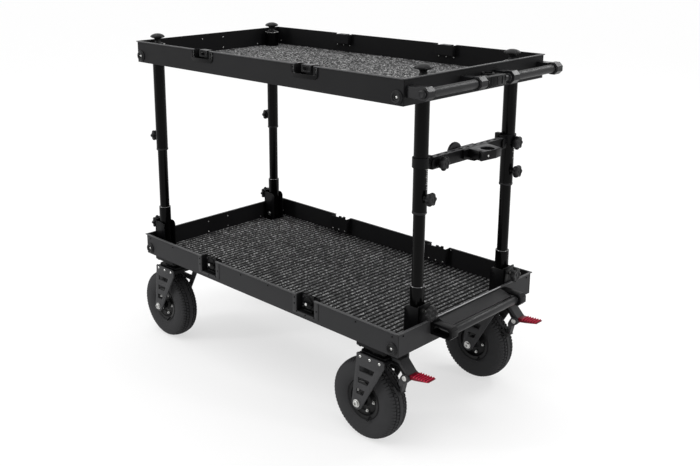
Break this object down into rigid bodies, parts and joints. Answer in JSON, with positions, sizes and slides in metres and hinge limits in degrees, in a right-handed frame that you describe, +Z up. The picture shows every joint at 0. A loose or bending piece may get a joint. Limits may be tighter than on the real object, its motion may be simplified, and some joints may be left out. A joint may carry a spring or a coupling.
{
  "type": "camera cart",
  "caption": "Rolling two-tier equipment cart with carpeted metal trays, telescopic legs, swivel casters with foot brakes, push handle and a cross bar with a ring holder.",
  "frame": {"origin": "on the floor, below the middle of the overall box", "axes": "+X along the cart towards the push handle, +Y towards the back long side, +Z up"},
  "size_m": [1.219, 0.616, 1.018],
  "materials": {
    "sheet_black": "satin black powder coat with a fine grain",
    "tube_black": "black anodised tube",
    "bracket_black": "black machined and coated bracket",
    "knob_plastic": "moulded black plastic",
    "grip_rubber": "dark grey foam rubber",
    "carpet_grey": "speckled grey loop carpet",
    "tyre_black": "black pneumatic tyre rubber",
    "rim_plastic": "black moulded rim",
    "pedal_red": "red ribbed plastic",
    "latch_black": "black latch handle"
  },
  "bodies": {
    "cart_base": {"lower_tray": "sheet_black", "lower_carpet": "carpet_grey", "leg_inner_front_left": "tube_black", "leg_inner_back_left": "tube_black", "leg_inner_front_right": "tube_black", "leg_inner_back_right": "tube_black", "leg_bracket_front_left": "bracket_black", "leg_bracket_back_left": "bracket_black", "leg_bracket_front_right": "bracket_black", "leg_bracket_back_right": "bracket_black", "end_shelf": "sheet_black", "end_shelf_bar": "tube_black"},
    "upper_legs": {"leg_outer_front_left": "tube_black", "leg_outer_back_left": "tube_black", "leg_outer_front_right": "tube_black", "leg_outer_back_right": "tube_black"},
    "upper_shelf": {"upper_tray": "sheet_black", "upper_carpet": "carpet_grey", "handle_bar": "bracket_black", "handle_grip_front": "grip_rubber", "handle_grip_back": "grip_rubber", "handle_ring_block": "bracket_black"},
    "crossbar_unit": {"crossbar": "bracket_black", "crossbar_clamp_front": "bracket_black", "crossbar_clamp_back": "bracket_black"},
    "ring_holder": {"accessory_holder": "bracket_black"},
    "fold_knob_front_left": {"fold_knob_front_left": "knob_plastic"},
    "height_knob_front_left": {"height_knob_front_left": "knob_plastic"},
    "shelf_knob_front_left": {"shelf_knob_front_left": "knob_plastic"},
    "fold_knob_back_left": {"fold_knob_back_left": "knob_plastic"},
    "height_knob_back_left": {"height_knob_back_left": "knob_plastic"},
    "shelf_knob_back_left": {"shelf_knob_back_left": "knob_plastic"},
    "fold_knob_front_right": {"fold_knob_front_right": "knob_plastic"},
    "height_knob_front_right": {"height_knob_front_right": "knob_plastic"},
    "shelf_knob_front_right": {"shelf_knob_front_right": "knob_plastic"},
    "fold_knob_back_right": {"fold_knob_back_right": "knob_plastic"},
    "height_knob_back_right": {"height_knob_back_right": "knob_plastic"},
    "shelf_knob_back_right": {"shelf_knob_back_right": "knob_plastic"},
    "clamp_knob_front": {"clamp_knob_front": "knob_plastic"},
    "clamp_knob_back": {"clamp_knob_back": "knob_plastic"},
    "holder_knob": {"holder_knob": "knob_plastic"},
    "deck_latch_front_left": {"deck_latch_front_left": "latch_black"},
    "deck_latch_front_right": {"deck_latch_front_right": "latch_black"},
    "deck_latch_back_left": {"deck_latch_back_left": "latch_black"},
    "deck_latch_back_right": {"deck_latch_back_right": "latch_black"},
    "caster_front_left": {"caster_fork_front_left": "bracket_black"},
    "wheel_front_left": {"caster_rim_front_left": "rim_plastic", "caster_tyre_front_left": "tyre_black"},
    "caster_back_left": {"caster_fork_back_left": "bracket_black"},
    "wheel_back_left": {"caster_rim_back_left": "rim_plastic", "caster_tyre_back_left": "tyre_black"},
    "caster_front_right": {"caster_fork_front_right": "bracket_black"},
    "wheel_front_right": {"caster_rim_front_right": "rim_plastic", "caster_tyre_front_right": "tyre_black"},
    "brake_front_right": {"brake_pedal_front_right": "pedal_red"},
    "caster_back_right": {"caster_fork_back_right": "bracket_black"},
    "wheel_back_right": {"caster_rim_back_right": "rim_plastic", "caster_tyre_back_right": "tyre_black"},
    "brake_back_right": {"brake_pedal_back_right": "pedal_red"}
  },
  "joints": [
    {"name": "shelf_height", "type": "slide", "parent": "cart_base", "child": "upper_legs", "axis": [0, 0, 1], "range_m": [-0.19, 0.048]},
    {"name": "shelf_lift_off", "type": "slide", "parent": "upper_legs", "child": "upper_shelf", "axis": [0, 0, 1], "range_m": [0, 0.1]},
    {"name": "crossbar_height", "type": "slide", "parent": "upper_legs", "child": "crossbar_unit", "axis": [0, 0, 1], "range_m": [-0.04, 0.12]},
    {"name": "holder_slide", "type": "slide", "parent": "crossbar_unit", "child": "ring_holder", "axis": [0, 1, 0], "range_m": [-0.07, 0.06]},
    {"name": "fold_knob_front_left_turn", "type": "hinge", "parent": "cart_base", "child": "fold_knob_front_left", "pos_m": [-0.51331, -0.244, 0.383], "axis": [1, 0, 0], "continuous": true},
    {"name": "height_knob_front_left_turn", "type": "hinge", "parent": "upper_legs", "child": "height_knob_front_left", "pos_m": [-0.51331, -0.244, 0.683], "axis": [1, 0, 0], "continuous": true},
    {"name": "shelf_knob_front_left_turn", "type": "hinge", "parent": "upper_shelf", "child": "shelf_knob_front_left", "pos_m": [-0.51331, -0.244, 1.006], "axis": [0, 0, 1], "continuous": true},
    {"name": "fold_knob_back_left_turn", "type": "hinge", "parent": "cart_base", "child": "fold_knob_back_left", "pos_m": [-0.51331, 0.244, 0.383], "axis": [1, 0, 0], "continuous": true},
    {"name": "height_knob_back_left_turn", "type": "hinge", "parent": "upper_legs", "child": "height_knob_back_left", "pos_m": [-0.51331, 0.244, 0.683], "axis": [1, 0, 0], "continuous": true},
    {"name": "shelf_knob_back_left_turn", "type": "hinge", "parent": "upper_shelf", "child": "shelf_knob_back_left", "pos_m": [-0.51331, 0.244, 1.006], "axis": [0, 0, 1], "continuous": true},
    {"name": "fold_knob_front_right_turn", "type": "hinge", "parent": "cart_base", "child": "fold_knob_front_right", "pos_m": [0.5117, -0.191, 0.383], "axis": [1, 0, 0], "continuous": true},
    {"name": "height_knob_front_right_turn", "type": "hinge", "parent": "upper_legs", "child": "height_knob_front_right", "pos_m": [0.5117, -0.191, 0.683], "axis": [1, 0, 0], "continuous": true},
    {"name": "shelf_knob_front_right_turn", "type": "hinge", "parent": "upper_shelf", "child": "shelf_knob_front_right", "pos_m": [0.5117, -0.191, 1.006], "axis": [0, 0, 1], "continuous": true},
    {"name": "fold_knob_back_right_turn", "type": "hinge", "parent": "cart_base", "child": "fold_knob_back_right", "pos_m": [0.5117, 0.191, 0.383], "axis": [1, 0, 0], "continuous": true},
    {"name": "height_knob_back_right_turn", "type": "hinge", "parent": "upper_legs", "child": "height_knob_back_right", "pos_m": [0.5117, 0.191, 0.683], "axis": [1, 0, 0], "continuous": true},
    {"name": "shelf_knob_back_right_turn", "type": "hinge", "parent": "upper_shelf", "child": "shelf_knob_back_right", "pos_m": [0.5117, 0.191, 1.006], "axis": [0, 0, 1], "continuous": true},
    {"name": "clamp_knob_front_turn", "type": "hinge", "parent": "crossbar_unit", "child": "clamp_knob_front", "pos_m": [0.5117, -0.132, 0.7635], "axis": [1, 0, 0], "continuous": true},
    {"name": "clamp_knob_back_turn", "type": "hinge", "parent": "crossbar_unit", "child": "clamp_knob_back", "pos_m": [0.5117, 0.191, 0.7635], "axis": [1, 0, 0], "continuous": true},
    {"name": "holder_knob_turn", "type": "hinge", "parent": "ring_holder", "child": "holder_knob", "pos_m": [0.5117, -0.02, 0.7635], "axis": [1, 0, 0], "continuous": true},
    {"name": "deck_latch_front_left_turn", "type": "hinge", "parent": "cart_base", "child": "deck_latch_front_left", "pos_m": [-0.2138, -0.29, 0.335], "axis": [0, 1, 0], "range_deg": [0, 180]},
    {"name": "deck_latch_front_right_turn", "type": "hinge", "parent": "cart_base", "child": "deck_latch_front_right", "pos_m": [0.21219, -0.29, 0.335], "axis": [0, 1, 0], "range_deg": [0, 180]},
    {"name": "deck_latch_back_left_turn", "type": "hinge", "parent": "cart_base", "child": "deck_latch_back_left", "pos_m": [-0.2138, 0.29, 0.335], "axis": [0, 1, 0], "range_deg": [0, 180]},
    {"name": "deck_latch_back_right_turn", "type": "hinge", "parent": "cart_base", "child": "deck_latch_back_right", "pos_m": [0.21219, 0.29, 0.335], "axis": [0, 1, 0], "range_deg": [0, 180]},
    {"name": "caster_swivel_front_left", "type": "hinge", "parent": "cart_base", "child": "caster_front_left", "pos_m": [-0.45081, -0.2475, 0.273], "axis": [0, 0, 1], "continuous": true},
    {"name": "wheel_spin_front_left", "type": "hinge", "parent": "caster_front_left", "child": "wheel_front_left", "pos_m": [-0.4948, -0.2475, 0.11303], "axis": [0, 1, 0], "continuous": true},
    {"name": "caster_swivel_back_left", "type": "hinge", "parent": "cart_base", "child": "caster_back_left", "pos_m": [-0.45081, 0.2475, 0.273], "axis": [0, 0, 1], "continuous": true},
    {"name": "wheel_spin_back_left", "type": "hinge", "parent": "caster_back_left", "child": "wheel_back_left", "pos_m": [-0.4948, 0.2475, 0.11303], "axis": [0, 1, 0], "continuous": true},
    {"name": "caster_swivel_front_right", "type": "hinge", "parent": "cart_base", "child": "caster_front_right", "pos_m": [0.4492, -0.2475, 0.273], "axis": [0, 0, 1], "continuous": true},
    {"name": "wheel_spin_front_right", "type": "hinge", "parent": "caster_front_right", "child": "wheel_front_right", "pos_m": [0.4052, -0.2475, 0.11303], "axis": [0, 1, 0], "continuous": true},
    {"name": "brake_press_front_right", "type": "hinge", "parent": "caster_front_right", "child": "brake_front_right", "pos_m": [0.54019, -0.2475, 0.224], "axis": [0, 1, 0], "range_deg": [0, 10]},
    {"name": "caster_swivel_back_right", "type": "hinge", "parent": "cart_base", "child": "caster_back_right", "pos_m": [0.4492, 0.2475, 0.273], "axis": [0, 0, 1], "continuous": true},
    {"name": "wheel_spin_back_right", "type": "hinge", "parent": "caster_back_right", "child": "wheel_back_right", "pos_m": [0.4052, 0.2475, 0.11303], "axis": [0, 1, 0], "continuous": true},
    {"name": "brake_press_back_right", "type": "hinge", "parent": "caster_back_right", "child": "brake_back_right", "pos_m": [0.54019, 0.2475, 0.224], "axis": [0, 1, 0], "range_deg": [0, 10]}
  ]
}
